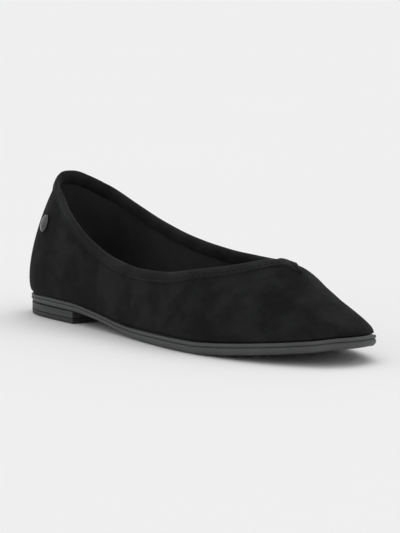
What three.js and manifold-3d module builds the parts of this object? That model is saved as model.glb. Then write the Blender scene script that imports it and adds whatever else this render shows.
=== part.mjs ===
// Ballet flat for the right foot, in millimetres.
// The toe points along +X, the outer side of the foot is -Y and +Z is up. The origin is on the floor,
// under the middle of the shoe's own box.
import * as THREE from "three";
import { mergeVertices } from "three/addons/utils/BufferGeometryUtils.js";
import Module from "manifold-3d";

// Driving sizes of the last and the sole
const LENGTH = 250; // outsole, from the back of the heel to the toe
const BALL_WIDTH = 79; // outsole across the ball of the foot
const BACK_HEIGHT = 75; // collar at the back, above the floor
const HEEL_HEIGHT = 6.5; // heel block and top piece under the outsole
const HEEL_LENGTH = 61; // from the back to the breast
const TOP_PIECE = 2.6; // wearing layer under the heel block
const TOE_SPRING = 8; // rise of the sole's underside at the toe
const SOLE_THICKNESS = 6; // outsole at the ball
const LEDGE = 1.2; // how far the outsole stands out past the upper in front of the waist
const BACK_LEDGE = 0.4; // the same at the heel
const EDGE_ROUND = 1.3; // rounding of the outsole's lower edge
const GROOVE_DEPTH = 0.6; // line round the side of the outsole

// Driving sizes of the upper
const WALL = 1.8; // suede with its lining
const BAND_WIDTH = 5.8; // folded band round the collar
const BAND_THICKNESS = 1; // each leg of the band
const BEAD = 1.5; // the fold of the band over the edge of the wall
const THROAT_AT = 195; // tip of the throat, from the back of the heel
const THROAT_ANGLE = 46; // degrees between the line of the shoe and each side of the throat
const BAND_TIP_AT = 212.5; // tip of the band in front of the throat, from the back of the heel
const BAND_ANGLE = 29; // degrees between the line of the shoe and the band's lower edge there
const HEEL_CENTRE = 29; // centre of the round back, from the back of the heel
const TOE_CENTRE = 222; // centre of the round toe, from the back of the heel
const INSOLE_THICKNESS = 2.2;
const INSOLE_BEVEL = 0.8; // how far the insole's top edge lies inside its lower edge
const STUD_HEIGHT = 9.4; // plain oval ornament on the outer back quarter
const STUD_WIDTH = 7.8;
const STUD_THICKNESS = 1.5;
const STUD_AT = 26; // place of the ornament, from the back of the heel
const STUD_UP = 49.5; // the same, above the floor
const GAP = 0.3; // clearance between neighbouring pieces

// Outline of the outsole. Places along are shares of LENGTH, half widths are shares of BALL_WIDTH.
const TOE_TIP = 0.07;
const OUTLINE = [
  { at: 0.03, outer: 0.2, inner: 0.2 },
  { at: 0.08, outer: 0.293, inner: 0.298 },
  { at: 0.16, outer: 0.333, inner: 0.348 },
  { at: 0.3, outer: 0.357, inner: 0.32 },
  { at: 0.42, outer: 0.402, inner: 0.3 },
  { at: 0.55, outer: 0.461, inner: 0.346 },
  { at: 0.66, outer: 0.494, inner: 0.452 },
  { at: 0.76, outer: 0.47, inner: 0.502 },
  { at: 0.84, outer: 0.408, inner: 0.462 },
  { at: 0.91, outer: 0.308, inner: 0.39 },
  { at: 0.96, outer: 0.2, inner: 0.308 },
  { at: 0.987, outer: 0.102, inner: 0.225 },
];

// Side view of the outsole. The underside is heel * HEEL_HEIGHT + toe * TOE_SPRING above the floor,
// and the thickness is a share of SOLE_THICKNESS.
const PROFILE = [
  { at: 0, heel: 1, toe: 0, thick: 0.62 },
  { at: 0.06, heel: 1, toe: 0, thick: 0.7 },
  { at: 0.16, heel: 1, toe: 0, thick: 0.8 },
  { at: 0.24, heel: 0.98, toe: 0, thick: 0.74 },
  { at: 0.32, heel: 0.78, toe: 0, thick: 0.65 },
  { at: 0.38, heel: 0.54, toe: 0, thick: 0.64 },
  { at: 0.44, heel: 0.26, toe: 0, thick: 0.71 },
  { at: 0.5, heel: 0.06, toe: 0, thick: 0.86 },
  { at: 0.56, heel: 0, toe: 0, thick: 0.95 },
  { at: 0.62, heel: 0, toe: 0, thick: 0.99 },
  { at: 0.7, heel: 0, toe: 0, thick: 1 },
  { at: 0.76, heel: 0, toe: 0.11, thick: 0.99 },
  { at: 0.82, heel: 0, toe: 0.29, thick: 0.97 },
  { at: 0.9, heel: 0, toe: 0.56, thick: 0.95 },
  { at: 0.96, heel: 0, toe: 0.8, thick: 0.93 },
  { at: 1, heel: 0, toe: 1, thick: 0.92 },
];

// Sections of the last. crown is the height of its top line above the floor and rise is how high the
// side bulges, both shares of BACK_HEIGHT. spine is the sideways place of the top line and the bulges
// are shares of BALL_WIDTH. full is how far the top stays broad before it turns down.
const SECTIONS = [
  { at: 0, crown: 1.248, rise: 0.213, full: 0.53, spine: 0.03, outerBulge: 0.085, innerBulge: 0.085 },
  { at: 0.05, crown: 1.195, rise: 0.198, full: 0.49, spine: 0.035, outerBulge: 0.098, innerBulge: 0.098 },
  { at: 0.12, crown: 1.15, rise: 0.238, full: 0.587, spine: 0.038, outerBulge: 0.068, innerBulge: 0.066 },
  { at: 0.2, crown: 1.148, rise: 0.255, full: 0.695, spine: 0.026, outerBulge: 0.047, innerBulge: 0.047 },
  { at: 0.3, crown: 1.09, rise: 0.253, full: 0.726, spine: 0.005, outerBulge: 0.0455, innerBulge: 0.0455 },
  { at: 0.42, crown: 0.975, rise: 0.235, full: 0.696, spine: -0.008, outerBulge: 0.05, innerBulge: 0.051 },
  { at: 0.55, crown: 0.817, rise: 0.196, full: 0.648, spine: -0.017, outerBulge: 0.055, innerBulge: 0.057 },
  { at: 0.66, crown: 0.683, rise: 0.15, full: 0.563, spine: -0.02, outerBulge: 0.047, innerBulge: 0.049 },
  { at: 0.76, crown: 0.603, rise: 0.085, full: 0.47, spine: -0.012, outerBulge: 0.033, innerBulge: 0.033 },
  { at: 0.82, crown: 0.586, rise: 0.07, full: 0.44, spine: 0.001, outerBulge: 0.027, innerBulge: 0.024 },
  { at: 0.85, crown: 0.527, rise: 0.066, full: 0.43, spine: 0.009, outerBulge: 0.024, innerBulge: 0.019 },
  { at: 0.888, crown: 0.447, rise: 0.067, full: 0.43, spine: 0.02, outerBulge: 0.021, innerBulge: 0.0175 },
  { at: 0.93, crown: 0.328, rise: 0.068, full: 0.465, spine: 0.038, outerBulge: 0.018, innerBulge: 0.0165 },
  { at: 1, crown: 0.188, rise: 0.07, full: 0.506, spine: 0.063, outerBulge: 0.0155, innerBulge: 0.0155 },
];

// Height of the collar above the floor on each side, as shares of BACK_HEIGHT. In front of the last
// row but one it runs to the tip of the throat, and the last row gives only its slope there.
const COLLAR = [
  { at: 0, outer: 1.013, inner: 1.013 },
  { at: 0.05, outer: 0.979, inner: 0.98 },
  { at: 0.12, outer: 0.918, inner: 0.92 },
  { at: 0.2, outer: 0.77, inner: 0.808 },
  { at: 0.3, outer: 0.608, inner: 0.709 },
  { at: 0.4, outer: 0.515, inner: 0.642 },
  { at: 0.5, outer: 0.479, inner: 0.593 },
  { at: 0.58, outer: 0.484, inner: 0.568 },
  { at: 0.66, outer: 0.523, inner: 0.56 },
  { at: 0.72, outer: 0.556, inner: 0.568 },
];

// How finely the surfaces are divided
const STATIONS = 46;
const WALL_STEPS = 7;
const BAND_STEPS = 3;
const STUD_SIDES = 28;

const wasm = await Module();
wasm.setup();

// A smooth curve through one column of a table, which never swings past its rows.
function column(rows, name) {
  const slopes = rows.map((row, i) => {
    if (i === 0 || i === rows.length - 1) {
      return 0;
    }
    const before = (row[name] - rows[i - 1][name]) / (row.at - rows[i - 1].at);
    const after = (rows[i + 1][name] - row[name]) / (rows[i + 1].at - row.at);
    return before * after <= 0 ? 0 : (2 * before * after) / (before + after);
  });
  return (at) => {
    const place = THREE.MathUtils.clamp(at, rows[0].at, rows[rows.length - 1].at);
    let i = 0;
    while (i < rows.length - 2 && place > rows[i + 1].at) {
      i += 1;
    }
    const span = rows[i + 1].at - rows[i].at;
    const t = (place - rows[i].at) / span;
    const start = rows[i][name] * (1 + 2 * t) * (1 - t) ** 2 + slopes[i] * span * t * (1 - t) ** 2;
    const end = rows[i + 1][name] * t * t * (3 - 2 * t) + slopes[i + 1] * span * t * t * (t - 1);
    return start + end;
  };
}

const profile = {};
for (const name of ["heel", "toe", "thick"]) {
  profile[name] = column(PROFILE, name);
}
const section = {};
for (const name of ["crown", "rise", "full", "spine", "outerBulge", "innerBulge"]) {
  section[name] = column(SECTIONS, name);
}

const soleBottom = (x) => profile.heel(x / LENGTH) * HEEL_HEIGHT + profile.toe(x / LENGTH) * TOE_SPRING;
const soleTop = (x) => soleBottom(x) + profile.thick(x / LENGTH) * SOLE_THICKNESS;

// The outline as one closed curve: heel, outer side, toe, inner side.
const outlinePoints = [
  new THREE.Vector3(0, 0, 0),
  ...OUTLINE.map((row) => new THREE.Vector3(row.at * LENGTH, -row.outer * BALL_WIDTH, 0)),
  new THREE.Vector3(LENGTH, TOE_TIP * BALL_WIDTH, 0),
  ...OUTLINE.map((row) => new THREE.Vector3(row.at * LENGTH, row.inner * BALL_WIDTH, 0)).reverse(),
];
const outlineCurve = new THREE.CatmullRomCurve3(outlinePoints, true, "centripetal");
const toeShare = (OUTLINE.length + 1) / outlinePoints.length;

// A point of the outline on one side, where along runs from 0 at the heel to 1 at the toe, moved
// inwards by inset.
function outlineAt(side, along, inset = 0) {
  const share = side === "outer" ? along * toeShare : 1 - along * (1 - toeShare);
  const point = outlineCurve.getPoint(share);
  const tangent = outlineCurve.getTangent(share);
  const inward = new THREE.Vector3(-tangent.y, tangent.x, 0).normalize();
  return point.addScaledVector(inward, inset);
}

// The place along the length, in millimetres, that both sides share at one station.
const placeOf = (along) => (outlineAt("outer", along).x + outlineAt("inner", along).x) / 2;

function alongOf(place) {
  let low = 0;
  let high = 1;
  for (let i = 0; i < 40; i += 1) {
    const middle = (low + high) / 2;
    if (placeOf(middle) < place) {
      low = middle;
    } else {
      high = middle;
    }
  }
  return (low + high) / 2;
}

// The four points that shape the wall's line from the sole up to the top line of the last. A positive
// inset gives the line inside the wall, and a negative one a line outside it.
function wallLine(side, along, inset) {
  const place = placeOf(along);
  const edge = outlineAt(side, along);
  const centre = THREE.MathUtils.clamp(place, HEEL_CENTRE, TOE_CENTRE);
  const step = 0.5;
  const crown = section.crown(centre / LENGTH) * BACK_HEIGHT;
  const before = section.crown((centre - step) / LENGTH) * BACK_HEIGHT;
  const after = section.crown((centre + step) / LENGTH) * BACK_HEIGHT;
  const slope = (after - before) / (2 * step);
  const top = new THREE.Vector3(centre, section.spine(centre / LENGTH) * BALL_WIDTH, crown);
  const out = new THREE.Vector3(edge.x - top.x, edge.y - top.y, 0);
  const forward = THREE.MathUtils.smoothstep(edge.x, HEEL_LENGTH, LENGTH / 2);
  const reach = out.length() - THREE.MathUtils.lerp(BACK_LEDGE, LEDGE, forward);
  out.normalize();
  const foot = new THREE.Vector3(top.x, top.y, soleTop(edge.x) + GAP).addScaledVector(out, reach);
  const bulge = section[side + "Bulge"](place / LENGTH) * BALL_WIDTH;
  const rise = section.rise(place / LENGTH) * BACK_HEIGHT;
  const shoulder = section.full(place / LENGTH) * reach;
  const round = 0.5; // share of the inset that the two middle points also move along the wall
  const up = new THREE.Vector3(0, 0, 1);
  const lean = slope * out.x * shoulder;
  return [
    foot.clone().addScaledVector(out, -inset),
    foot.clone().addScaledVector(out, bulge - inset).addScaledVector(up, rise - round * inset),
    top.clone().addScaledVector(out, shoulder - round * inset).addScaledVector(up, lean - inset),
    top.clone().addScaledVector(up, -inset),
  ];
}

function onWall(side, along, share, inset = 0) {
  const curve = new THREE.CubicBezierCurve3(...wallLine(side, along, inset));
  return curve.getPoint(THREE.MathUtils.clamp(share, 0, 1));
}

// Length of wall for each unit of its share, close to one share.
function wallSpeed(side, along, share) {
  const step = 0.01;
  const low = Math.min(share, 1) - step;
  return onWall(side, along, low).distanceTo(onWall(side, along, low + step)) / step;
}

// The share of the way up at which one side of the wall reaches a height above the floor.
function shareAt(side, along, height) {
  let low = 0;
  let high = 1;
  for (let i = 0; i < 30; i += 1) {
    const middle = (low + high) / 2;
    if (onWall(side, along, middle).z < height) {
      low = middle;
    } else {
      high = middle;
    }
  }
  return (low + high) / 2;
}

// The collar's table as shares of the way up, at close places.
const open = {};
for (const side of ["outer", "inner"]) {
  const height = column(COLLAR, side);
  const count = 48;
  const rows = [];
  for (let i = 0; i <= count; i += 1) {
    const at = (i / count) * COLLAR[COLLAR.length - 1].at;
    rows.push({ at, share: shareAt(side, alongOf(at * LENGTH), height(at) * BACK_HEIGHT) });
  }
  open[side] = column(rows, "share");
}

// A line round the shoe, as shares of the way up. It follows base to the collar's last row but one, and
// from there it runs to a tip on the top line, which it meets at an angle in degrees. In front of the tip
// it goes on past 1.
function lineTo(tip, angle, base) {
  const start = COLLAR[COLLAR.length - 2].at * LENGTH;
  const startAlong = alongOf(start);
  const tipAlong = alongOf(tip);
  const tangent = Math.tan(THREE.MathUtils.degToRad(angle));
  const step = 0.01;
  return (side, along) => {
    const place = placeOf(along);
    if (place <= start) {
      return base(side, along);
    }
    const climb = tangent / wallSpeed(side, tipAlong, 1);
    if (place >= tip) {
      return 1 + (place - tip) * climb;
    }
    const span = tip - start;
    const t = (place - start) / span;
    const first = base(side, startAlong);
    const slope = (first - base(side, startAlong - step)) / (start - placeOf(startAlong - step));
    return (
      first * (1 + 2 * t) * (1 - t) ** 2 +
      slope * span * t * (1 - t) ** 2 +
      t * t * (3 - 2 * t) +
      climb * span * t * t * (t - 1)
    );
  };
}

const collar = lineTo(THROAT_AT, THROAT_ANGLE, (side, along) => open[side](placeOf(along) / LENGTH));
const throat = alongOf(THROAT_AT);

// A point of the collar's line. Behind the middle of the heel it goes on round the other side.
function collarPoint(side, along) {
  const other = side === "outer" ? "inner" : "outer";
  const actual = along < 0 ? other : side;
  return onWall(actual, Math.abs(along), collar(actual, Math.abs(along)));
}

// The share at a distance below the collar, measured square to it.
function belowCollar(side, along, distance) {
  const share = collar(side, along);
  const throatSquare = Math.cos(THREE.MathUtils.degToRad(THROAT_ANGLE));
  if (placeOf(along) >= THROAT_AT) {
    return share - distance / (wallSpeed(side, throat, 1) * throatSquare);
  }
  const step = 0.004;
  const run = collarPoint(side, along + step).sub(collarPoint(side, along - step)).normalize();
  const climb = onWall(side, along, share).sub(onWall(side, along, share - step)).normalize();
  const square = Math.max(run.cross(climb).length(), throatSquare);
  return share - distance / (wallSpeed(side, along, share) * square);
}

const footLine = () => 0;
const bandFold = (side, along) => belowCollar(side, along, BEAD);
const wallEdge = (side, along) => belowCollar(side, along, BEAD + GAP);
const bandEdge = (side, along) => belowCollar(side, along, BAND_WIDTH);
const wellBelow = (side, along) => belowCollar(side, along, 2 * BAND_WIDTH);
const bandLine = lineTo(BAND_TIP_AT, BAND_ANGLE, bandEdge);
const underBand = lineTo(BAND_TIP_AT + BAND_WIDTH, BAND_ANGLE, wellBelow);

// Where a line at this distance below the collar meets the top line, in front of the throat's tip.
const tipOf = (distance) => THROAT_AT + distance / Math.sin(THREE.MathUtils.degToRad(THROAT_ANGLE));

// Stations along the shoe: even ones, and one at each place where a piece ends.
function stations() {
  const tips = [THROAT_AT, tipOf(BEAD), tipOf(BEAD + GAP), BAND_TIP_AT, BAND_TIP_AT + BAND_WIDTH];
  const exact = [HEEL_LENGTH, ...tips].map(alongOf);
  const spacing = 1 / STATIONS;
  const even = [];
  for (let i = 0; i <= STATIONS; i += 1) {
    const along = i * spacing;
    if (i === 0 || i === STATIONS || exact.every((other) => Math.abs(other - along) > spacing * 0.4)) {
      even.push(along);
    }
  }
  return [...even, ...exact].sort((a, b) => a - b);
}

const ALONG = stations();

// Turns triangles given as corner points into a solid with shared vertices.
function solidFrom(triangles) {
  const geometry = new THREE.BufferGeometry();
  const positions = triangles.flatMap((corners) => corners.flatMap((corner) => corner.toArray()));
  geometry.setAttribute("position", new THREE.Float32BufferAttribute(positions, 3));
  const merged = mergeVertices(geometry, 1e-4);
  const index = Array.from(merged.index.array);
  const kept = [];
  for (let i = 0; i < index.length; i += 3) {
    const [a, b, c] = index.slice(i, i + 3);
    if (a !== b && b !== c && c !== a) {
      kept.push(a, b, c);
    }
  }
  return new wasm.Manifold(
    new wasm.Mesh({
      numProp: 3,
      vertProperties: new Float32Array(merged.attributes.position.array),
      triVerts: new Uint32Array(kept),
    }),
  );
}

function meshFrom(name, solid, material) {
  const { vertProperties, triVerts } = solid.getMesh();
  const geometry = new THREE.BufferGeometry();
  geometry.setAttribute("position", new THREE.BufferAttribute(new Float32Array(vertProperties), 3));
  geometry.setIndex(new THREE.BufferAttribute(new Uint32Array(triVerts), 1));
  geometry.computeVertexNormals();
  const mesh = new THREE.Mesh(geometry, material);
  mesh.name = name;
  return mesh;
}

const quad = (a, b, c, d) => [
  [a, b, c],
  [a, c, d],
];

// A share of the way up, which is exactly 1 from the top line on.
const onTop = (share) => (share > 1 - 1e-6 ? 1 : share);

// A solid between two skins of the wall, as far forward as the place end. lines are functions that give
// shares of the way up, from the lowest line to the highest, and steps are the rows between them. In
// front of the throat both sides run together over the top.
function shell(lines, steps, outside, inside, end = LENGTH) {
  const used = ALONG.filter((along) => placeOf(along) <= end + 1e-3);
  const triangles = [];
  const sides = [
    ["outer", (face) => face],
    ["inner", (face) => [face[0], face[2], face[1]]],
  ];
  for (const [side, turned] of sides) {
    const ribs = used.map((along) => {
      const marks = lines.map((line) => onTop(line(side, along)));
      const shares = [marks[0]];
      steps.forEach((count, k) => {
        for (let j = 1; j <= count; j += 1) {
          shares.push(THREE.MathUtils.lerp(marks[k], marks[k + 1], j / count));
        }
      });
      return {
        open: marks[marks.length - 1] < 1,
        skin: shares.map((share) => onWall(side, along, share, outside)),
        lining: shares.map((share) => onWall(side, along, share, inside)),
      };
    });
    const last = ribs[0].skin.length - 1;
    for (let i = 0; i < used.length - 1; i += 1) {
      const here = ribs[i];
      const next = ribs[i + 1];
      const faces = [];
      for (let j = 0; j < last; j += 1) {
        faces.push(...quad(here.skin[j], next.skin[j], next.skin[j + 1], here.skin[j + 1]));
        faces.push(...quad(here.lining[j], here.lining[j + 1], next.lining[j + 1], next.lining[j]));
      }
      faces.push(...quad(here.skin[0], here.lining[0], next.lining[0], next.skin[0]));
      if (here.open) {
        faces.push(...quad(here.skin[last], next.skin[last], next.lining[last], here.lining[last]));
      }
      triangles.push(...faces.map(turned));
    }
  }
  return solidFrom(triangles);
}

// A solid from rings of points, each with the heel first, then the outer side, then the inner side back.
// Both ends are closed with rungs that join the two sides.
function stack(rings) {
  const count = rings[0].length;
  const triangles = [];
  for (let level = 0; level < rings.length - 1; level += 1) {
    const lower = rings[level];
    const upper = rings[level + 1];
    for (let i = 0; i < count; i += 1) {
      const j = (i + 1) % count;
      triangles.push(...quad(lower[i], lower[j], upper[j], upper[i]));
    }
  }
  const top = rings[rings.length - 1];
  const bottom = rings[0];
  for (let i = 0; i < Math.floor(count / 2); i += 1) {
    const far = (count - i) % count;
    const farNext = count - i - 1;
    triangles.push(...quad(top[i], top[i + 1], top[farNext], top[far]));
    triangles.push(...quad(bottom[i], bottom[far], bottom[farNext], bottom[i + 1]));
  }
  return solidFrom(triangles);
}

// One ring of the outline, moved inwards by inset, at a height that may follow the place along.
function ring(inset, height, end = LENGTH) {
  const used = ALONG.filter((along) => placeOf(along) <= end + 1e-3);
  const closed = end >= LENGTH;
  const point = (side, along) => {
    const at = outlineAt(side, along, inset);
    return new THREE.Vector3(at.x, at.y, height(outlineAt(side, along).x));
  };
  const outer = used.map((along) => point("outer", along));
  const inner = used.slice(1, closed ? -1 : undefined).map((along) => point("inner", along));
  return [...outer, ...inner.reverse()];
}

const suede = () => new THREE.MeshStandardMaterial({ color: 0x26262a, roughness: 0.95, metalness: 0 });
const rubber = () => new THREE.MeshStandardMaterial({ color: 0x4b4b50, roughness: 0.7, metalness: 0 });

function makeUpper() {
  const solid = shell([footLine, underBand, wallEdge], [WALL_STEPS, BAND_STEPS], 0, WALL);
  return meshFrom("upper", solid, suede());
}

// The band is the space round the edge of the wall, less the wall itself with its clearance.
function makeBinding() {
  const around = GAP + BAND_THICKNESS;
  const whole = shell([bandLine, collar], [BAND_STEPS], -around, WALL + around, BAND_TIP_AT);
  const core = shell([underBand, bandFold], [BAND_STEPS], -GAP, WALL + GAP);
  return meshFrom("topline_binding", whole.subtract(core), suede());
}

function makeOutsole() {
  const level = (share, drop = 0) => (x) => THREE.MathUtils.lerp(soleTop(x), soleBottom(x), share) + drop;
  const grooveAt = 0.33; // share of the way down the side
  const grooveHalf = 0.06;
  const rings = [
    ring(EDGE_ROUND, level(1)),
    ring(EDGE_ROUND * 0.3, level(1, EDGE_ROUND * 0.3)),
    ring(0, level(1, EDGE_ROUND)),
    ring(0, level(grooveAt + grooveHalf)),
    ring(GROOVE_DEPTH, level(grooveAt)),
    ring(0, level(grooveAt - grooveHalf)),
    ring(0, level(0, -EDGE_ROUND * 0.4)),
    ring(EDGE_ROUND * 0.4, level(0)),
  ];
  return meshFrom("outsole", stack(rings), rubber());
}

function makeHeelLayer(name, low, high) {
  const inset = BACK_LEDGE;
  const rings = [ring(inset, () => low, HEEL_LENGTH), ring(inset, () => high, HEEL_LENGTH)];
  return meshFrom(name, stack(rings), rubber());
}

function makeInsole() {
  const inset = LEDGE + WALL + 2 * GAP;
  const low = (x) => soleTop(x) + GAP;
  const high = (x) => soleTop(x) + GAP + INSOLE_THICKNESS;
  const leather = new THREE.MeshStandardMaterial({ color: 0x1d1d1f, roughness: 0.8, metalness: 0 });
  return meshFrom("insole", stack([ring(inset, low), ring(inset + INSOLE_BEVEL, high)]), leather);
}

// A domed oval, with its back on the wall of the outer back quarter.
function makeStud() {
  const along = alongOf(STUD_AT);
  const share = shareAt("outer", along, STUD_UP);
  const step = 0.01;
  const seat = onWall("outer", along, share);
  const up = onWall("outer", along, share + step).sub(seat).normalize();
  const side = onWall("outer", along + step, share).sub(seat).normalize();
  const out = new THREE.Vector3().crossVectors(side, up).normalize();
  const profilePoints = [new THREE.Vector2(0, 0), new THREE.Vector2(0.94, 0), new THREE.Vector2(1, 0.3)];
  for (let i = 1; i <= 5; i += 1) {
    const turn = (i / 5) * (Math.PI / 2);
    profilePoints.push(new THREE.Vector2(Math.cos(turn), 0.3 + 0.7 * Math.sin(turn)));
  }
  const dome = new THREE.LatheGeometry(profilePoints, STUD_SIDES);
  dome.scale(STUD_WIDTH / 2, STUD_THICKNESS, STUD_HEIGHT / 2);
  const across = new THREE.Vector3().crossVectors(out, up);
  const frame = new THREE.Matrix4().makeBasis(across, out, up.clone());
  const metal = new THREE.MeshStandardMaterial({ color: 0xb4b4b6, roughness: 0.3, metalness: 1 });
  const mesh = new THREE.Mesh(dome, metal);
  mesh.name = "heel_stud";
  mesh.quaternion.setFromRotationMatrix(frame);
  mesh.position.copy(seat).addScaledVector(out, GAP);
  return mesh;
}

const shoe = new THREE.Group();
shoe.add(
  makeOutsole(),
  makeHeelLayer("heel_block", TOP_PIECE + GAP, HEEL_HEIGHT - GAP),
  makeHeelLayer("heel_top_piece", 0, TOP_PIECE),
  makeUpper(),
  makeBinding(),
  makeInsole(),
  makeStud(),
);

// The shoe is set with the middle of its box over the origin.
const box = new THREE.Box3().setFromObject(shoe, true);
shoe.position.set(-(box.min.x + box.max.x) / 2, -(box.min.y + box.max.y) / 2, -box.min.z);
const balletFlat = new THREE.Group();
balletFlat.add(shoe);

export default balletFlat;
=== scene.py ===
import math

import bmesh
import bpy
import numpy as np
from mathutils import Matrix, Vector


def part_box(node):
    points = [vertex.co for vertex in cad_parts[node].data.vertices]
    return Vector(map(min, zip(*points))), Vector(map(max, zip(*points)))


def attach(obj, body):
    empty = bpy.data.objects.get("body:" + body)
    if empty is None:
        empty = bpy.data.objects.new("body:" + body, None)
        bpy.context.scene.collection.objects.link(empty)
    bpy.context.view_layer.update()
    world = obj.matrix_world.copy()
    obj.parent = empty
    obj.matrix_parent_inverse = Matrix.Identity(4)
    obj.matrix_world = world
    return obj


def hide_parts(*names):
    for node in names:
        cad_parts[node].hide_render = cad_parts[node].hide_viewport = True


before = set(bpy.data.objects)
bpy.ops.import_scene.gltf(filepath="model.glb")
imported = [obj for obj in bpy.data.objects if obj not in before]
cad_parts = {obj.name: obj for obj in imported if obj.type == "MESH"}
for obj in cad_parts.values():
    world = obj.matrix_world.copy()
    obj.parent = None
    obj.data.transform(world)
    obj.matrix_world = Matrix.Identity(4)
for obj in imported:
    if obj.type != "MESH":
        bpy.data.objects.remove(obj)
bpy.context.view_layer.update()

# Outsole
# A moulded rubber unit with a thin lip, a line a third of the way down and a rounded band under it.
# It is cemented under the lasted upper and springs up from the floor at the toe.
LENGTH = 250.0
BALL_WIDTH = 79.0
HEEL_HEIGHT = 6.5
TOE_SPRING = 8.0
SOLE_THICKNESS = 6.0
TOE_TIP = 0.07  # share of BALL_WIDTH that the tip of the toe lies towards the inner side
SIDES = ("outer", "inner")
STATIONS = 210
FINE_STATIONS = 4001

# Half widths as shares of BALL_WIDTH at places along, which are shares of LENGTH
OUTLINE = [
    {"at": 0.03, "outer": 0.2, "inner": 0.2},
    {"at": 0.08, "outer": 0.293, "inner": 0.298},
    {"at": 0.16, "outer": 0.333, "inner": 0.348},
    {"at": 0.3, "outer": 0.357, "inner": 0.32},
    {"at": 0.42, "outer": 0.402, "inner": 0.3},
    {"at": 0.55, "outer": 0.461, "inner": 0.346},
    {"at": 0.66, "outer": 0.494, "inner": 0.452},
    {"at": 0.76, "outer": 0.47, "inner": 0.502},
    {"at": 0.84, "outer": 0.408, "inner": 0.462},
    {"at": 0.91, "outer": 0.308, "inner": 0.39},
    {"at": 0.96, "outer": 0.2, "inner": 0.308},
    {"at": 0.987, "outer": 0.102, "inner": 0.225},
]

# Side view: the underside is heel * HEEL_HEIGHT + toe * TOE_SPRING above the floor
PROFILE = [
    {"at": 0, "heel": 1, "toe": 0, "thick": 0.62},
    {"at": 0.06, "heel": 1, "toe": 0, "thick": 0.7},
    {"at": 0.16, "heel": 1, "toe": 0, "thick": 0.8},
    {"at": 0.24, "heel": 0.98, "toe": 0, "thick": 0.74},
    {"at": 0.32, "heel": 0.78, "toe": 0, "thick": 0.65},
    {"at": 0.38, "heel": 0.54, "toe": 0, "thick": 0.64},
    {"at": 0.44, "heel": 0.26, "toe": 0, "thick": 0.71},
    {"at": 0.5, "heel": 0.06, "toe": 0, "thick": 0.86},
    {"at": 0.56, "heel": 0, "toe": 0, "thick": 0.95},
    {"at": 0.62, "heel": 0, "toe": 0, "thick": 0.99},
    {"at": 0.7, "heel": 0, "toe": 0, "thick": 1},
    {"at": 0.76, "heel": 0, "toe": 0.11, "thick": 0.99},
    {"at": 0.82, "heel": 0, "toe": 0.29, "thick": 0.97},
    {"at": 0.9, "heel": 0, "toe": 0.56, "thick": 0.95},
    {"at": 0.96, "heel": 0, "toe": 0.8, "thick": 0.93},
    {"at": 1, "heel": 0, "toe": 1, "thick": 0.92},
]

# The moulded side: down is the share of the thickness below the top, inset is how far it lies in
SOLE_SIDE = [
    {"down": 0, "inset": 6},
    {"down": 0, "inset": 0.75},
    {"down": 0.02, "inset": 0.3},
    {"down": 0.08, "inset": 0.05},
    {"down": 0.2, "inset": 0},
    {"down": 0.265, "inset": 0.12},
    {"down": 0.3, "inset": 0.5},
    {"down": 0.33, "inset": 0.7},
    {"down": 0.36, "inset": 0.5},
    {"down": 0.4, "inset": 0.12},
    {"down": 0.47, "inset": -0.02},
    {"down": 0.57, "inset": -0.03},
    {"down": 0.68, "inset": 0.1},
    {"down": 0.79, "inset": 0.4},
    {"down": 0.9, "inset": 0.9},
    {"down": 0.965, "inset": 1.4},
    {"down": 1, "inset": 2},
    {"down": 1, "inset": 6},
]


def column(rows, name):
    """A smooth curve through one column of a table, which never swings past its rows."""
    places = np.array([row["at"] for row in rows], float)
    values = np.array([row[name] for row in rows], float)
    steps = np.diff(values) / np.diff(places)
    slopes = np.zeros(len(values))
    for i in range(1, len(values) - 1):
        before, after = steps[i - 1], steps[i]
        if before * after > 0:
            slopes[i] = 2 * before * after / (before + after)

    def curve(place):
        place = np.clip(place, places[0], places[-1])
        i = np.clip(np.searchsorted(places, place) - 1, 0, len(places) - 2)
        span = places[i + 1] - places[i]
        t = (place - places[i]) / span
        start = values[i] * (1 + 2 * t) * (1 - t) ** 2 + slopes[i] * span * t * (1 - t) ** 2
        return start + values[i + 1] * t * t * (3 - 2 * t) + slopes[i + 1] * span * t * t * (t - 1)

    return curve


profile = {name: column(PROFILE, name) for name in ("heel", "toe", "thick")}


def sole_bottom(x):
    return profile["heel"](x / LENGTH) * HEEL_HEIGHT + profile["toe"](x / LENGTH) * TOE_SPRING


def sole_top(x):
    return sole_bottom(x) + profile["thick"](x / LENGTH) * SOLE_THICKNESS


outer_points = [(row["at"] * LENGTH, -row["outer"] * BALL_WIDTH) for row in OUTLINE]
inner_points = [(row["at"] * LENGTH, row["inner"] * BALL_WIDTH) for row in reversed(OUTLINE)]
outline_points = np.array([(0, 0), *outer_points, (LENGTH, TOE_TIP * BALL_WIDTH), *inner_points])
toe_share = (len(OUTLINE) + 1) / len(outline_points)


def outline_curve(share):
    """The closed centripetal curve through the outline's points, at shares from 0 to 1."""
    count = len(outline_points)
    i = np.floor(share * count).astype(int)
    t = (share * count - i)[..., None]
    a, b, c, d = (outline_points[(i + k) % count] for k in (-1, 0, 1, 2))

    def knot(p, q):
        return np.sqrt(np.linalg.norm(q - p, axis=-1, keepdims=True))

    before, here, after = knot(a, b), knot(b, c), knot(c, d)
    leave = ((b - a) / before - (c - a) / (before + here) + (c - b) / here) * here
    arrive = ((c - b) / here - (d - b) / (here + after) + (d - c) / after) * here
    bend = 3 * (c - b) - 2 * leave - arrive
    return b + leave * t + bend * t**2 + (2 * (b - c) + leave + arrive) * t**3


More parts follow.
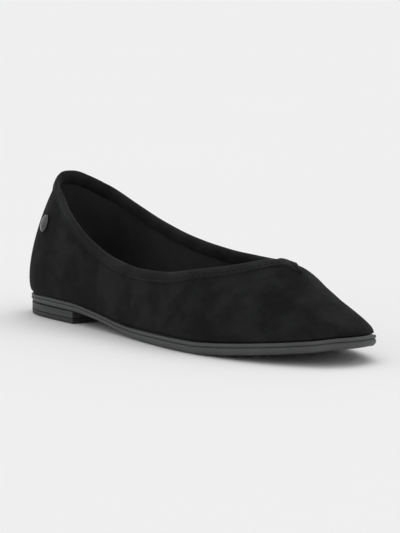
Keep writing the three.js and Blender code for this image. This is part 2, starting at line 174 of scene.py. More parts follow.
def outline_at(side, along, inset=0.0):
    """Points of the outline, where along runs from 0 at the heel to 1 at the toe, moved inwards."""
    share = along * toe_share if side == "outer" else 1 - along * (1 - toe_share)
    step = 1e-4
    tangent = outline_curve(np.minimum(share + step, 1)) - outline_curve(np.maximum(share - step, 0))
    tangent /= np.linalg.norm(tangent, axis=-1, keepdims=True)
    return outline_curve(share) + inset * np.stack([-tangent[..., 1], tangent[..., 0]], -1)


def place_of(along):
    """The place along the length that both sides share at one station."""
    return (outline_at("outer", along)[..., 0] + outline_at("inner", along)[..., 0]) / 2


fine_along = np.linspace(0, 1, FINE_STATIONS)
fine_place = place_of(fine_along)


def along_of(place):
    return np.interp(place, fine_place, fine_along)


MM = 0.001
outline_low = outline_curve(fine_along).min(axis=0)
sole_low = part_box("outsole")[0]
SHIFT = np.array([sole_low.x - outline_low[0] * MM, sole_low.y - outline_low[1] * MM, 0])
WELD = 2e-6  # metres


def make_piece(name, points, faces, material, sharp=50):
    """A smooth-shaded object from points in millimetres, with doubled points joined."""
    mesh = bpy.data.meshes.new(name)
    mesh.from_pydata((np.asarray(points) * MM + SHIFT).tolist(), [], faces)
    build = bmesh.new()
    build.from_mesh(mesh)
    bmesh.ops.remove_doubles(build, verts=build.verts, dist=WELD)
    bmesh.ops.dissolve_degenerate(build, edges=build.edges, dist=WELD)
    bmesh.ops.recalc_face_normals(build, faces=build.faces)
    build.to_mesh(mesh)
    build.free()
    mesh.shade_smooth()
    mesh.set_sharp_from_angle(angle=math.radians(sharp))
    mesh.materials.append(material)
    piece = bpy.data.objects.new(name, mesh)
    bpy.context.scene.collection.objects.link(piece)
    return piece


def loop_of(inset, height, along):
    """One closed line round the outline: the outer side to its end, then the inner side back."""
    lines = []
    for side in SIDES:
        flat = outline_at(side, along, inset)
        lines.append(np.column_stack([flat, height(outline_at(side, along)[:, 0])]))
    return np.vstack([lines[0], lines[1][::-1]])


def stacked(loops):
    """Points and faces through closed loops from the top down, with both ends closed by rungs."""
    count = len(loops[0])
    faces = []
    for level in range(len(loops) - 1):
        for i in range(count):
            j = (i + 1) % count
            low, high = level * count, (level + 1) * count
            faces.append((low + i, low + j, high + j, high + i))
    last = (len(loops) - 1) * count
    for i in range(count // 2 - 1):
        rung = (i, i + 1, count - i - 2, count - i - 1)
        faces.append(rung)
        faces.append(tuple(last + k for k in rung))
    return np.vstack(loops), faces


class Wire:
    """A node's output. Arithmetic on it adds Math nodes to its finish."""

    def __init__(self, finish, socket):
        self.finish = finish
        self.socket = socket

    def math(self, operation, *values):
        inputs = dict(enumerate(values))
        return self.finish.node("ShaderNodeMath", {"operation": operation}, inputs)

    def __add__(self, other):
        return self.math("ADD", self, other)

    def __radd__(self, other):
        return self.math("ADD", other, self)

    def __sub__(self, other):
        return self.math("SUBTRACT", self, other)

    def __mul__(self, other):
        return self.math("MULTIPLY", self, other)


class Finish:
    """A material built from nodes."""

    def __init__(self, name):
        self.material = bpy.data.materials.new(name)
        self.material.use_nodes = True
        self.nodes = self.material.node_tree.nodes
        self.links = self.material.node_tree.links
        self.nodes.clear()
        self.spot = self.node("ShaderNodeTexCoord", output="Object")

    def node(self, kind, settings=None, inputs=None, output=0):
        """Adds a node: its settings first, then the values or links of its sockets."""
        node = self.nodes.new(kind)
        for key, value in (settings or {}).items():
            setattr(node, key, value)
        for key, value in (inputs or {}).items():
            if isinstance(value, Wire):
                self.links.new(value.socket, node.inputs[key])
            else:
                node.inputs[key].default_value = value
        return Wire(self, node.outputs[output])

    def noise(self, size, detail=2.0, roughness=0.5, stretch=(1, 1, 1)):
        """Noise whose patches are about size millimetres across, from 0 to 1."""
        where = self.node("ShaderNodeVectorMath", {"operation": "MULTIPLY"}, {0: self.spot, 1: stretch})
        inputs = {"Vector": where, "Scale": 1 / (size * MM), "Detail": detail, "Roughness": roughness}
        return self.node("ShaderNodeTexNoise", {"noise_dimensions": "3D"}, inputs)

    def between(self, factor, low, high):
        """A colour between two, by a factor from 0 to 1."""
        inputs = {0: factor, 6: low, 7: high}
        return self.node("ShaderNodeMix", {"data_type": "RGBA"}, inputs, output=2)

    def spread(self, value, low, high):
        """Stretches the part of value between low and high to 0 to 1."""
        inputs = {0: value, 1: low, 2: high, 3: 0, 4: 1}
        return self.node("ShaderNodeMapRange", {"interpolation_type": "SMOOTHSTEP"}, inputs)

    def bump(self, height, depth, normal=None):
        """Low relief of that depth in millimetres."""
        inputs = {"Height": height, "Distance": depth * MM, "Strength": 1.0}
        if normal:
            inputs["Normal"] = normal
        return self.node("ShaderNodeBump", inputs=inputs)

    def surface(self, colour, roughness, normal, **constants):
        """The finished material. constants are sockets of the shader, with _ for each space."""
        inputs = {"Base Color": colour, "Roughness": roughness, "Normal": normal}
        inputs.update({key.replace("_", " "): value for key, value in constants.items()})
        shader = self.node("ShaderNodeBsdfPrincipled", inputs=inputs, output="BSDF")
        end = self.nodes.new("ShaderNodeOutputMaterial")
        self.links.new(shader.socket, end.inputs["Surface"])
        return self.material


def grey(value, warmth=0.0):
    """A grey, made warmer or, below 0, cooler."""
    return (value * (1 + warmth), value, value * (1 - warmth), 1.0)


def rubber_finish(name, base):
    """Matt moulded rubber with a fine grain, scuffed lighter in soft patches."""
    rubber = Finish(name)
    scuff = rubber.spread(rubber.noise(9, detail=4), 0.3, 0.75)
    grain = rubber.noise(0.5, detail=3)
    colour = rubber.between(scuff, grey(base * 0.86, -0.02), grey(base * 1.14, -0.02))
    normal = rubber.bump(grain, 0.12)
    return rubber.surface(colour, 0.5 + scuff * 0.14, normal, Specular_IOR_Level=0.42)


along_sole = np.linspace(0, 1, STATIONS)
side_loops = []
for row in SOLE_SIDE:

    def level(x, down=row["down"]):
        return sole_top(x) + (sole_bottom(x) - sole_top(x)) * down

    side_loops.append(loop_of(row["inset"], level, along_sole))
sole_rubber = rubber_finish("sole_rubber", 0.07)
outsole = make_piece("outsole_unit", *stacked(side_loops), sole_rubber, sharp=60)
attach(outsole, "root")
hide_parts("outsole")

# Heel
# A low block of stacked lifts under the back of the outsole, with a hard rubber top piece under it.
# Both follow the heel's outline and end in a flat breast.
HEEL_LENGTH = 61.0
TOP_PIECE = 2.6
BACK_LEDGE = 0.4
GAP = 0.3
HEEL_STATIONS = 70
BREAST_STEP = 0.4  # the last two stations lie this close, which keeps the breast's corners crisp
CORE = 4  # inset of the loops that close a layer
LIFTS = 2
LIFT_LINE = 0.09  # depth of the line between two lifts
LIFT_REACH = 0.22  # how far that line reaches up and down
EDGE = 0.12  # rounding where two layers meet
SEAT_IN, SEAT_DOWN = 0.25, 0.2  # rounding under the outsole
SEAT_GAP = 0.02

# The top piece's lower edge: height above the floor and inset
TREAD_EDGE = [(0.5, 0), (0.12, 0.15), (0, 0.5)]

even_heel = np.linspace(0, along_of(HEEL_LENGTH - BREAST_STEP), HEEL_STATIONS)
along_heel = np.concatenate([even_heel, [along_of(HEEL_LENGTH)]])


def heel_layer(name, rows, material, node):
    """A layer of the heel from rows of (height, inset), from the top down."""
    loops = [loop_of(inset, lambda x, z=z: np.full_like(x, z), along_heel) for z, inset in rows]
    layer = make_piece(name, *stacked(loops), material, sharp=40)
    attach(layer, "root")
    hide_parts(node)


block_low, block_high = TOP_PIECE + GAP, HEEL_HEIGHT - SEAT_GAP
block_rows = [
    (block_high, CORE),
    (block_high, BACK_LEDGE + SEAT_IN),
    (block_high - SEAT_DOWN, BACK_LEDGE),
]
for lift in range(1, LIFTS):
    line = block_high + (block_low - block_high) * lift / LIFTS
    block_rows += [
        (line + LIFT_REACH, BACK_LEDGE),
        (line, BACK_LEDGE + LIFT_LINE),
        (line - LIFT_REACH, BACK_LEDGE),
    ]
block_rows += [(block_low + EDGE, BACK_LEDGE), (block_low, BACK_LEDGE + EDGE), (block_low, CORE)]
heel_layer("heel_lifts", block_rows, rubber_finish("heel_rubber", 0.04), "heel_block")
top_rows = [(TOP_PIECE, CORE), (TOP_PIECE, BACK_LEDGE + EDGE), (TOP_PIECE - EDGE, BACK_LEDGE)]
top_rows += [(height, BACK_LEDGE + inset) for height, inset in TREAD_EDGE]
top_rows += [(0, CORE)]
heel_layer("heel_tread", top_rows, rubber_finish("top_piece_rubber", 0.028), "heel_top_piece")

# Upper
# Black suede lasted over the form of a foot and tucked in under its edge above the outsole, with a
# leather lining behind it. It is open at the collar, which dips along the sides and ends in a throat.
BACK_HEIGHT = 75.0
LEDGE = 1.2
WALL = 1.8
SUEDE = 1.0
LINING_GAP = 0.05
THROAT_AT = 195.0
THROAT_ANGLE = 46.0
HEEL_CENTRE = 29.0
TOE_CENTRE = 222.0
BEAD = 1.5  # the wall ends this far below the collar's fold, and a gap lower
WALL_ROWS = 64
ROW_CROWDING = 1.2  # above 1, more of the rows lie low on the wall
LINING_ROWS = 34
BISECTIONS = 30
THROAT_ZONE = (-12, 20)  # between these distances from the throat the stations lie closer
THROAT_STEP = 0.6
TUCK = 0.8  # how far the suede turns in at its lower edge
TUCK_HEIGHT = 0.045  # share of the wall over which it turns in
RELIEF_FADE = (0.02, 0.12)  # shares of the wall between which the relief grows to its full height

# Sections of the last. crown and rise are shares of BACK_HEIGHT, full is the share of the reach from the
# spine to the edge, spine is the share of BALL_WIDTH that the top line lies towards the inner side, and
# outer and inner are the bulge of each side as shares of BALL_WIDTH.
SECTION_COLUMNS = ("at", "crown", "rise", "full", "spine", "outer", "inner")
SECTION_ROWS = [
    (0, 1.248, 0.213, 0.53, 0.03, 0.085, 0.085),
    (0.05, 1.195, 0.198, 0.49, 0.035, 0.098, 0.098),
    (0.12, 1.15, 0.238, 0.587, 0.038, 0.068, 0.066),
    (0.2, 1.148, 0.255, 0.695, 0.026, 0.047, 0.047),
    (0.3, 1.09, 0.253, 0.726, 0.005, 0.0455, 0.0455),
    (0.42, 0.975, 0.235, 0.696, -0.008, 0.05, 0.051),
    (0.55, 0.817, 0.196, 0.648, -0.017, 0.055, 0.057),
    (0.66, 0.683, 0.15, 0.563, -0.02, 0.047, 0.049),
    (0.76, 0.603, 0.085, 0.47, -0.012, 0.033, 0.033),
    (0.82, 0.586, 0.07, 0.44, 0.001, 0.027, 0.024),
    (0.85, 0.527, 0.066, 0.43, 0.009, 0.024, 0.019),
    (0.888, 0.447, 0.067, 0.43, 0.02, 0.021, 0.0175),
    (0.93, 0.328, 0.068, 0.465, 0.038, 0.018, 0.0165),
    (1, 0.188, 0.07, 0.506, 0.063, 0.0155, 0.0155),
]
SECTIONS = [dict(zip(SECTION_COLUMNS, row)) for row in SECTION_ROWS]

# Height of the collar on each side, as shares of BACK_HEIGHT
COLLAR = [
    {"at": 0, "outer": 1.013, "inner": 1.013},
    {"at": 0.05, "outer": 0.979, "inner": 0.98},
    {"at": 0.12, "outer": 0.918, "inner": 0.92},
    {"at": 0.2, "outer": 0.77, "inner": 0.808},
    {"at": 0.3, "outer": 0.608, "inner": 0.709},
    {"at": 0.4, "outer": 0.515, "inner": 0.642},
    {"at": 0.5, "outer": 0.479, "inner": 0.593},
    {"at": 0.58, "outer": 0.484, "inner": 0.568},
    {"at": 0.66, "outer": 0.523, "inner": 0.56},
    {"at": 0.72, "outer": 0.556, "inner": 0.568},
]

# Soft hollows (lift below 0) and swellings of the worn-in suede. at is the place from the
# back of the heel, long the reach along the shoe and lift the height, in millimetres. up and high are the
# middle and the reach up the wall, as shares of the way to the crown. turn is an angle in radians.
RELIEF = [
    {"side": "outer", "at": 62, "up": 0.27, "long": 13, "high": 0.07, "turn": 0.3, "lift": -0.45},
    {"side": "outer", "at": 96, "up": 0.2, "long": 16, "high": 0.06, "turn": 0.25, "lift": 0.35},
    {"side": "outer", "at": 118, "up": 0.3, "long": 15, "high": 0.05, "turn": 0.2, "lift": -0.4},
    {"side": "outer", "at": 148, "up": 0.36, "long": 12, "high": 0.07, "turn": -0.35, "lift": -0.4},
    {"side": "outer", "at": 160, "up": 0.2, "long": 15, "high": 0.06, "turn": 0.15, "lift": 0.35},
    {"side": "outer", "at": 182, "up": 0.46, "long": 11, "high": 0.09, "turn": -0.5, "lift": -0.4},
    {"side": "outer", "at": 205, "up": 0.62, "long": 10, "high": 0.12, "turn": -0.3, "lift": 0.3},
    {"side": "inner", "at": 70, "up": 0.25, "long": 14, "high": 0.07, "turn": 0.25, "lift": -0.4},
    {"side": "inner", "at": 112, "up": 0.3, "long": 16, "high": 0.06, "turn": -0.2, "lift": 0.35},
    {"side": "inner", "at": 150, "up": 0.34, "long": 13, "high": 0.08, "turn": -0.3, "lift": -0.4},
    {"side": "inner", "at": 188, "up": 0.4, "long": 12, "high": 0.09, "turn": -0.4, "lift": -0.3},
]

section = {name: column(SECTIONS, name) for name in SECTIONS[0] if name != "at"}
UP = np.array([0.0, 0.0, 1.0])


def smoothstep(value, low, high):
    t = np.clip((value - low) / (high - low), 0, 1)
    return t * t * (3 - 2 * t)


def wall(side, along, share, inset=0.0):
    """Points of the wall at shares of the way up to the crown, moved inwards through the wall."""
    along = np.asarray(along, float)
    share = np.clip(share, 0, 1)
    place = place_of(along)
    edge = outline_at(side, along)
    centre = np.clip(place, HEEL_CENTRE, TOE_CENTRE)
    crown = section["crown"](centre / LENGTH) * BACK_HEIGHT
    step = 0.5
    ahead = section["crown"]((centre + step) / LENGTH)
    slope = (ahead - section["crown"]((centre - step) / LENGTH)) * BACK_HEIGHT / (2 * step)
    top = np.stack([centre, section["spine"](centre / LENGTH) * BALL_WIDTH, crown], -1)
    out = np.concatenate([edge - top[..., :2], np.zeros_like(edge[..., :1])], -1)
    length = np.linalg.norm(out, axis=-1, keepdims=True)
    out /= length
    ledge = BACK_LEDGE + (LEDGE - BACK_LEDGE) * smoothstep(edge[..., :1], HEEL_LENGTH, LENGTH / 2)
    reach = length - ledge
    foot = top + out * reach
    foot[..., 2] = sole_top(edge[..., 0]) + GAP
    bulge = section[side](place / LENGTH)[..., None] * BALL_WIDTH
    rise = section["rise"](place / LENGTH)[..., None] * BACK_HEIGHT
    shoulder = section["full"](place / LENGTH)[..., None] * reach
    lean = slope[..., None] * out[..., :1] * shoulder
    corners = [foot, foot + out * bulge + UP * rise, top + out * shoulder + UP * lean, top]
    moves = [-out, -out - UP / 2, -out / 2 - UP, np.broadcast_to(-UP, out.shape)]
    if share.ndim > along.ndim:
        corners = [corner[:, None] for corner in corners]
        moves = [move[:, None] for move in moves]
    t = share[..., None]
    weights = [(1 - t) ** 3, 3 * t * (1 - t) ** 2, 3 * t**2 * (1 - t), t**3]
    point = sum(weight * corner for weight, corner in zip(weights, corners))
    move = sum(weight * step_in for weight, step_in in zip(weights, moves))
    return point + np.asarray(inset)[..., None] * move


def share_at(side, along, height):
    """The share of the way up at which one side of the wall reaches a height above the floor."""
    low, high = np.zeros_like(along), np.ones_like(along)
    for _ in range(BISECTIONS):
        middle = (low + high) / 2
        under = wall(side, along, middle)[..., 2] < height
        low, high = np.where(under, middle, low), np.where(under, high, middle)
    return (low + high) / 2


def wall_speed(side, along, share):
    """Length of wall for each unit of its share, close to one share."""
    step = 0.01
    low = np.minimum(share, 1) - step
    return np.linalg.norm(wall(side, along, low + step) - wall(side, along, low), axis=-1) / step


def line_to(tip, angle, base):
    """A line round the shoe that follows base to the collar's last row but one, then runs to a tip on
    the top line, which it meets at an angle in degrees."""
    start = COLLAR[-2]["at"] * LENGTH
    span = tip - start
    start_along = np.array([along_of(start)])
    step = 0.01

    def line(side, along):
        along = np.asarray(along, float)
        place = place_of(along)
        climb = math.tan(math.radians(angle)) / wall_speed(side, along_of(tip), 1.0)
        first = base(side, start_along)
        run = start - place_of(start_along - step)
        slope = (first - base(side, start_along - step)) / run
        t = (place - start) / span
        rounded = first * (1 + 2 * t) * (1 - t) ** 2 + slope * span * t * (1 - t) ** 2
        rounded = rounded + t * t * (3 - 2 * t) + climb * span * t * t * (t - 1)
        onward = 1 + (place - tip) * climb
        return np.where(place <= start, base(side, along), np.where(place >= tip, onward, rounded))

    return line


collar_height = {side: column(COLLAR, side) for side in SIDES}


def collar_share(side, along):
    """The share of the way up at which the collar lies."""
    return share_at(side, along, collar_height[side](place_of(along) / LENGTH) * BACK_HEIGHT)


collar = line_to(THROAT_AT, THROAT_ANGLE, collar_share)


def collar_point(side, along):
    """A point of the collar's line. Behind the middle of the heel it goes on round the other side."""
    other = "inner" if side == "outer" else "outer"
    size = np.clip(np.abs(along), 0, 1)
    here = wall(side, size, collar(side, size))
    there = wall(other, size, collar(other, size))
    return np.where((along < 0)[..., None], there, here)


def below_collar(side, along, distance):
    """The share at a distance below the collar, measured square to it."""
    share = collar(side, along)
    throat_square = math.cos(math.radians(THROAT_ANGLE))
    step = 0.004
    run = collar_point(side, along + step) - collar_point(side, along - step)
    climb = wall(side, along, share) - wall(side, along, share - step)
    across = np.linalg.norm(np.cross(run, climb), axis=-1)
    square = across / (np.linalg.norm(run, axis=-1) * np.linalg.norm(climb, axis=-1) + 1e-9)
    behind = share - distance / (wall_speed(side, along, share) * np.maximum(square, throat_square))
    throat = along_of(THROAT_AT)
    ahead = share - distance / (wall_speed(side, throat, 1.0) * throat_square)
    return np.where(place_of(along) >= THROAT_AT, ahead, behind)


def relief_at(side, place, share):
    """How far the suede stands out from the last, in millimetres."""
    total = np.zeros_like(share)
    for row in RELIEF:
        if row["side"] == side:
            u = (place - row["at"]) / row["long"]
            v = (share - row["up"]) / row["high"]
            turn = row["turn"]
            lengthways = u * math.cos(turn) + v * math.sin(turn)
            crossways = v * math.cos(turn) - u * math.sin(turn)
            total += row["lift"] * np.exp(-(lengthways**2) - crossways**2)
    return total


def shell(along, top_line, rows, outside, inside):
    """Points and faces between two skins of the wall. In front of the throat both sides run together
    over the top. outside and inside give how far in each skin lies."""
    points, faces = [], []
    count = len(rows)
    for side in SIDES:
        top = np.minimum(top_line(side, along), 1)
        top = np.where(top > 1 - 1e-4, 1, top)
        share = top[:, None] * rows[None, :]
        place = np.broadcast_to(place_of(along)[:, None], share.shape)
        base = sum(len(block) for block in points)
        skin = wall(side, along, share, outside(side, place, share))
        lining = wall(side, along, share, inside(side, place, share))
        points += [skin.reshape(-1, 3), lining.reshape(-1, 3)]
        back = skin.shape[0] * count
        for i in range(len(along) - 1):
            here, there = base + i * count, base + (i + 1) * count
            for j in range(count - 1):
                corner = (here + j, there + j, there + j + 1, here + j + 1)
                faces.append(corner)
                faces.append(tuple(back + k for k in reversed(corner)))
            faces.append((here, here + back, there + back, there))
            if top[i] < 1 or top[i + 1] < 1:
                high, next_high = here + count - 1, there + count - 1
                faces.append((high, next_high, next_high + back, high + back))
    return np.vstack(points), faces


def wall_edge(side, along):
    """The share at which the wall ends under the folded strip."""
    return below_collar(side, along, BEAD + GAP)


def suede_finish(name, dark, light, sheen):
    """Suede with a short nap that lies lighter and darker in soft patches, over a fine grain."""
    suede = Finish(name)
    patches = suede.spread(suede.noise(17, detail=3, roughness=0.62), 0.36, 0.66)
    brushed = suede.noise(3.2, detail=4, roughness=0.65, stretch=(0.6, 1, 1.3))
    nap = suede.noise(0.55, detail=3, roughness=0.7)
    tone = patches * 0.5 + brushed * 0.3 + nap * 0.35 - 0.08
    colour = suede.between(tone, grey(dark, -0.03), grey(light, -0.02))
    normal = suede.bump(nap, 0.28, suede.bump(brushed, 0.22))
    return suede.surface(
        colour,
        0.86 + brushed * 0.12,
        normal,
        Specular_IOR_Level=0.06,
        Sheen_Weight=sheen,
        Sheen_Roughness=0.4,
        Sheen_Tint=grey(0.62),
    )


def leather_finish(name, base, roughness):
    """Smooth leather with a fine pebbled grain."""
    leather = Finish(name)
    patches = leather.spread(leather.noise(24, detail=3), 0.3, 0.7)
    inputs = {"Vector": leather.spot, "Scale": 1 / (0.9 * MM), "Randomness": 1.0}
    pebble = leather.node("ShaderNodeTexVoronoi", {"feature": "F1"}, inputs, output="Distance")
    colour = leather.between(patches, grey(base * 0.8), grey(base * 1.2))
    normal = leather.bump(pebble, 0.1)
    return leather.surface(colour, roughness + patches * 0.12, normal, Specular_IOR_Level=0.4)


zone_start, zone_end = (THROAT_AT + reach for reach in THROAT_ZONE)
near_throat = along_of(np.arange(zone_start, zone_end, THROAT_STEP))
wall_along = np.unique(np.round(np.concatenate([along_sole, near_throat]), 5))
wall_rows = np.linspace(0, 1, WALL_ROWS) ** ROW_CROWDING


def suede_skin(side, place, share):
    """How far in the suede's face lies: tucked in at its lower edge, with its relief above that."""
    tuck = TUCK * (1 - smoothstep(share, 0, TUCK_HEIGHT))
    return tuck - relief_at(side, place, share) * smoothstep(share, *RELIEF_FADE)


def even_skin(inset):
    return lambda side, place, share: np.full_like(share, inset)


upper_suede = suede_finish("suede", 0.0065, 0.0235, 0.05)
skin = shell(wall_along, wall_edge, wall_rows, suede_skin, even_skin(SUEDE))
vamp_and_quarters = make_piece("vamp_and_quarters", *skin, upper_suede)
lining_rows = np.linspace(0, 1, LINING_ROWS)
lining = shell(wall_along, wall_edge, lining_rows, even_skin(SUEDE + LINING_GAP), even_skin(WALL))
upper_lining = make_piece("upper_lining", *lining, leather_finish("lining_leather", 0.038, 0.6))
for piece in (vamp_and_quarters, upper_lining):
    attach(piece, "root")
    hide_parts("upper")

# Topline binding
# A strip of the same suede folded over the edge of the collar, padded a little, and stitched close to
# its lower edge. Its two ends meet in front of the throat in a mitred point.
BAND_WIDTH = 5.8
BAND_TIP_AT = 212.5
BAND_ANGLE = 29.0
MITRE_GAP = 0.0012  # share of the way up that each end stops short of the top line
MITRE_REACH = 0.022  # share of the way up over which the ends round down into the mitre
MITRE_SINK = 0.28  # how far they round down
BAND_STATIONS = 190
MITRE_ZONE = 14  # from this far behind the throat to the strip's tip the stations lie closer
MITRE_LEAD = 0.3  # to the first of the closer ones
MITRE_STEP = 0.35

# Section of the folded strip: down is measured from the fold, in is measured from the wall's face
BAND_SECTION = [
    {"down": 5.8, "in": -0.05},
    {"down": 5.78, "in": -0.6},
    {"down": 5.55, "in": -0.98},
    {"down": 5.2, "in": -1.08},
    {"down": 4.75, "in": -0.98},
    {"down": 4.3, "in": -1.2},
    {"down": 3.4, "in": -1.5},
    {"down": 2.3, "in": -1.5},
    {"down": 1.3, "in": -1.25},
    {"down": 0.55, "in": -0.75},
    {"down": 0.12, "in": 0.05},
    {"down": 0, "in": 0.9},
    {"down": 0.12, "in": 1.75},
    {"down": 0.55, "in": 2.5},
    {"down": 1.3, "in": 2.95},
    {"down": 2.3, "in": 3.1},
    {"down": 3.6, "in": 3.1},
    {"down": 4.9, "in": 2.95},
    {"down": 5.6, "in": 2.6},
    {"down": 5.8, "in": 1.85},
]


def band_edge(side, along):
    """The share at which the strip ends on the wall."""
    return below_collar(side, along, BAND_WIDTH)


band_line = line_to(BAND_TIP_AT, BAND_ANGLE, band_edge)


def on_band(side, along, down, inset):
    """Points of the strip at a distance below its fold, kept short of the top line at the mitre."""
    high = collar(side, along)[:, None]
    low = band_line(side, along)[:, None]
    share = high + (low - high) * down / BAND_WIDTH
    limit = 1 - MITRE_GAP
    over = smoothstep(share, limit - MITRE_REACH, limit)
    sunk = MITRE_SINK * over * (1 - np.clip(inset, 0, 1))
    return wall(side, along, np.minimum(share, limit), inset + sunk)


down = np.array([row["down"] for row in BAND_SECTION])
across = np.array([row["in"] for row in BAND_SECTION])
zone_start = THROAT_AT - MITRE_ZONE
band_even = np.linspace(0, along_of(zone_start), BAND_STATIONS)
band_close = along_of(np.arange(zone_start + MITRE_LEAD, BAND_TIP_AT + 0.01, MITRE_STEP))
band_along = np.concatenate([band_even, band_close])
across = np.broadcast_to(across, (len(band_along), len(across)))
band_points, band_faces = [], []
for side in SIDES:
    base = sum(len(block) for block in band_points)
    grid = on_band(side, band_along, down[None, :], across)
    band_points.append(grid.reshape(-1, 3))
    count = len(down)
    for i in range(len(band_along) - 1):
        for j in range(count):
            k = (j + 1) % count
            here, there = base + i * count, base + (i + 1) * count
            band_faces.append((here + j, there + j, there + k, here + k))
binding_suede = suede_finish("binding_suede", 0.01, 0.03, 0.08)
binding = make_piece("collar_binding", np.vstack(band_points), band_faces, binding_suede, sharp=70)
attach(binding, "root")
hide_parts("topline_binding")

# Binding stitches
# One row of black thread round the collar, sunk in the strip near its lower edge.
STITCH_DOWN = 4.75  # below the collar
STITCH_IN = -1.12  # from the wall's face
STITCH_LENGTH = 2.3
STITCH_GAP = 0.9
STITCH_RADIUS = 0.2
STITCH_SIDES = 6
SEAM_END = 9  # the seam ends this far behind the strip's tip
SEAM_STATIONS = 1400

# One stitch: place from its middle as a share of half its length, and thickness as a share
STITCH_RINGS = [(-1, 0.25), (-0.82, 0.85), (-0.3, 1), (0.3, 1), (0.82, 0.85), (1, 0.25)]

thread_points, thread_faces = [], []
pitch = STITCH_LENGTH + STITCH_GAP
seam_along = np.linspace(0, along_of(BAND_TIP_AT - SEAM_END), SEAM_STATIONS)
for side in SIDES:
    seam_down, seam_in = np.full((1, 1), STITCH_DOWN), np.full((SEAM_STATIONS, 1), STITCH_IN)
    seam = on_band(side, seam_along, seam_down, seam_in)[:, 0]
    run = np.concatenate([[0], np.cumsum(np.linalg.norm(np.diff(seam, axis=0), axis=1))])
    for middle in np.arange(pitch / 2, run[-1] - pitch / 2, pitch):
        spots = [middle + STITCH_LENGTH / 2 * end for end, _ in STITCH_RINGS]
        line = np.stack([np.interp(spots, run, seam[:, axis]) for axis in range(3)], -1)
        ahead = line[-1] - line[0]
        ahead /= np.linalg.norm(ahead)
        square = np.cross(ahead, UP)
        square /= np.linalg.norm(square)
        lift = np.cross(square, ahead)
        base = len(thread_points)
        for spot, (_, size) in zip(line, STITCH_RINGS):
            for k in range(STITCH_SIDES):
                turn = 2 * math.pi * k / STITCH_SIDES
                around = square * math.cos(turn) + lift * math.sin(turn)
                thread_points.append(spot + around * STITCH_RADIUS * size)
        for i in range(len(STITCH_RINGS) - 1):
            for k in range(STITCH_SIDES):
                here, there = base + i * STITCH_SIDES, base + (i + 1) * STITCH_SIDES
                n = (k + 1) % STITCH_SIDES
                thread_faces.append((here + k, here + n, there + n, there + k))
        last = base + (len(STITCH_RINGS) - 1) * STITCH_SIDES
        thread_faces.append(tuple(base + k for k in range(STITCH_SIDES)))
        thread_faces.append(tuple(last + k for k in range(STITCH_SIDES)))
thread = Finish("thread")
twist = thread.noise(0.3, detail=1)
thread_colour = thread.between(twist, grey(0.006), grey(0.014))
thread_material = thread.surface(thread_colour, 0.75, thread.bump(twist, 0.05), Specular_IOR_Level=0.15)
stitches = make_piece("binding_stitches", np.array(thread_points), thread_faces, thread_material)
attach(stitches, "root")

# Sock and insole
# A cushioned insole covered with black leather, cut to the inside of the upper and cemented in.
INSOLE_THICKNESS = 2.2
SOCK_INSET = LEDGE + WALL + 2 * GAP

# Section of the sock's edge: inset from its outline and height above its underside
SOCK_EDGE = [
    (7, INSOLE_THICKNESS + 0.05),
    (2.2, INSOLE_THICKNESS),
    (1, INSOLE_THICKNESS - 0.1),
    (0.3, INSOLE_THICKNESS - 0.45),
    (0, INSOLE_THICKNESS - 1),
    (0, 0),
    (6, 0),
]

sock_loops = [
    loop_of(SOCK_INSET + inset, lambda x, z=z: sole_top(x) + GAP + z, along_sole) for inset, z in SOCK_EDGE
]
sock = make_piece("sock", *stacked(sock_loops), leather_finish("sock_leather", 0.016, 0.5))
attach(sock, "root")
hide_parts("insole")

# Heel stud
# A plain domed oval of polished metal, riveted to the outer back quarter.
STUD_HEIGHT = 9.4
STUD_WIDTH = 7.8
STUD_THICKNESS = 1.5
STUD_AT = 26.0
STUD_UP = 49.5
STUD_SIDES = 72
STUD_RINGS = 18
STUD_RIM = 0.26  # share of its thickness where the dome starts

# The stud's rim, from the middle of its back: shares of its half width and of its thickness
STUD_BACK = [(0, 0), (0.93, 0), (0.98, 0.1), (1, STUD_RIM)]

stud_along = np.array([along_of(STUD_AT)])
stud_share = share_at("outer", stud_along, STUD_UP)
nudge = 0.01
seat = wall("outer", stud_along, stud_share)[0]
stud_up = wall("outer", stud_along, stud_share + nudge)[0] - seat
stud_up /= np.linalg.norm(stud_up)
stud_side = wall("outer", stud_along + nudge, stud_share)[0] - seat
stud_out = np.cross(stud_side, stud_up)
stud_out /= np.linalg.norm(stud_out)
stud_across = np.cross(stud_out, stud_up)
stud_lines = list(STUD_BACK)
for ring in range(1, STUD_RINGS + 1):
    turn = ring / STUD_RINGS * math.pi / 2
    stud_lines.append((math.cos(turn), STUD_RIM + (1 - STUD_RIM) * math.sin(turn)))
stud_points = []
for size, rise in stud_lines:
    for k in range(STUD_SIDES):
        turn = 2 * math.pi * k / STUD_SIDES
        across_part = stud_across * math.cos(turn) * size * STUD_WIDTH / 2
        up_part = stud_up * math.sin(turn) * size * STUD_HEIGHT / 2
        stud_points.append(seat + stud_out * (GAP + rise * STUD_THICKNESS) + across_part + up_part)
stud_faces = []
for i in range(len(stud_lines) - 1):
    for k in range(STUD_SIDES):
        n = (k + 1) % STUD_SIDES
        here, there = i * STUD_SIDES, (i + 1) * STUD_SIDES
        stud_faces.append((here + k, here + n, there + n, there + k))
metal = Finish("stud_metal")
# Painted reflection: the metal's colour is painted dark, with lighter and darker patches that stand in for
# the studio reflected in it. The same patches also vary its roughness and bump.
reflection_patches = metal.noise(9, detail=0)
painted_reflection_colour = metal.between(reflection_patches, grey(0.06), grey(0.16))
stud_metal = metal.surface(painted_reflection_colour, 0.14 + reflection_patches * 0.08, metal.bump(reflection_patches, 0.01), Metallic=1.0)
stud = make_piece("oval_stud", np.array(stud_points), stud_faces, stud_metal)
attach(stud, "root")
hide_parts("heel_stud")

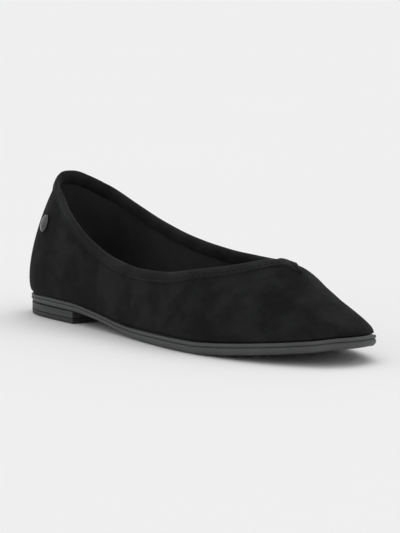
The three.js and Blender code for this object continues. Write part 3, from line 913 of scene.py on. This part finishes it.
# Floor, light and camera
# A plain pale floor under an even sky and one broad soft light overhead, a little behind the shoe.
FLOOR_SIZE = 80.0
SKY = 0.69
FLOOR_TONE = 0.9
LIGHT_SPREAD = 50.0  # degrees across the soft light
LIGHT_POWER = 0.95
LIGHT_FROM = Vector((-0.3, 0.4, 1.0))
VIEW_TURN = 38.0  # degrees from the toe towards the outer side
VIEW_RISE = 6.9  # degrees above the floor
VIEW_ROLL = 0.43  # degrees
VIEW_DISTANCE = 1.253
VIEW_END = 200.0
PHOTO_SCALE = 1132.0  # pixels of the photograph for a metre at the shoe
PHOTO_HEIGHT = 533
CLOSER = 1.74  # how much larger than in the photograph the shoe is shown
AIM_HEIGHT = 0.03
AIM_RIGHT = 0.0058
AIM_UP = 0.0049
SENSOR = 36.0

floor_finish = Finish("floor")
mottle = floor_finish.noise(400, detail=1)
floor_colour = floor_finish.between(mottle, grey(FLOOR_TONE), grey(FLOOR_TONE * 1.01))
floor_bump = floor_finish.bump(mottle, 0.01)
floor_material = floor_finish.surface(floor_colour, 0.9, floor_bump, Specular_IOR_Level=0.1)
half = FLOOR_SIZE / 2
floor_corners = [(-half, -half, 0), (half, -half, 0), (half, half, 0), (-half, half, 0)]
floor_mesh = bpy.data.meshes.new("floor")
floor_mesh.from_pydata(floor_corners, [], [(0, 1, 2, 3)])
floor_mesh.materials.append(floor_material)
floor = bpy.data.objects.new("floor", floor_mesh)
bpy.context.scene.collection.objects.link(floor)

world = bpy.data.worlds.new("studio")
world.use_nodes = True
world.node_tree.nodes["Background"].inputs["Color"].default_value = grey(SKY)
bpy.context.scene.world = world
light_data = bpy.data.lights.new("overhead", "SUN")
light_data.angle = math.radians(LIGHT_SPREAD)
light_data.energy = LIGHT_POWER
light = bpy.data.objects.new("overhead", light_data)
light.rotation_euler = (-LIGHT_FROM).to_track_quat("-Z", "Y").to_euler()
bpy.context.scene.collection.objects.link(light)

turn, rise = math.radians(VIEW_TURN), math.radians(VIEW_RISE)
towards = Vector((math.cos(rise) * math.cos(turn), -math.cos(rise) * math.sin(turn), math.sin(rise)))
right = Vector((math.sin(turn), math.cos(turn), 0))
up = towards.cross(right)
middle = Vector((LENGTH / 2 * MM + SHIFT[0], SHIFT[1], AIM_HEIGHT))
target = middle + right * AIM_RIGHT + up * AIM_UP
camera_data = bpy.data.cameras.new("camera")
camera_data.sensor_fit = "VERTICAL"
camera_data.sensor_height = SENSOR
camera_data.lens = PHOTO_SCALE * VIEW_DISTANCE * CLOSER * SENSOR / PHOTO_HEIGHT
camera_data.clip_end = VIEW_END
camera = bpy.data.objects.new("camera", camera_data)
place = Matrix.Translation(target + towards * VIEW_DISTANCE)
basis = Matrix((right, up, towards)).transposed().to_4x4()
roll = Matrix.Rotation(math.radians(VIEW_ROLL), 4, "Z")
camera.matrix_world = place @ basis @ roll
bpy.context.scene.collection.objects.link(camera)
bpy.context.scene.camera = camera
bpy.context.scene.view_settings.view_transform = "Standard"
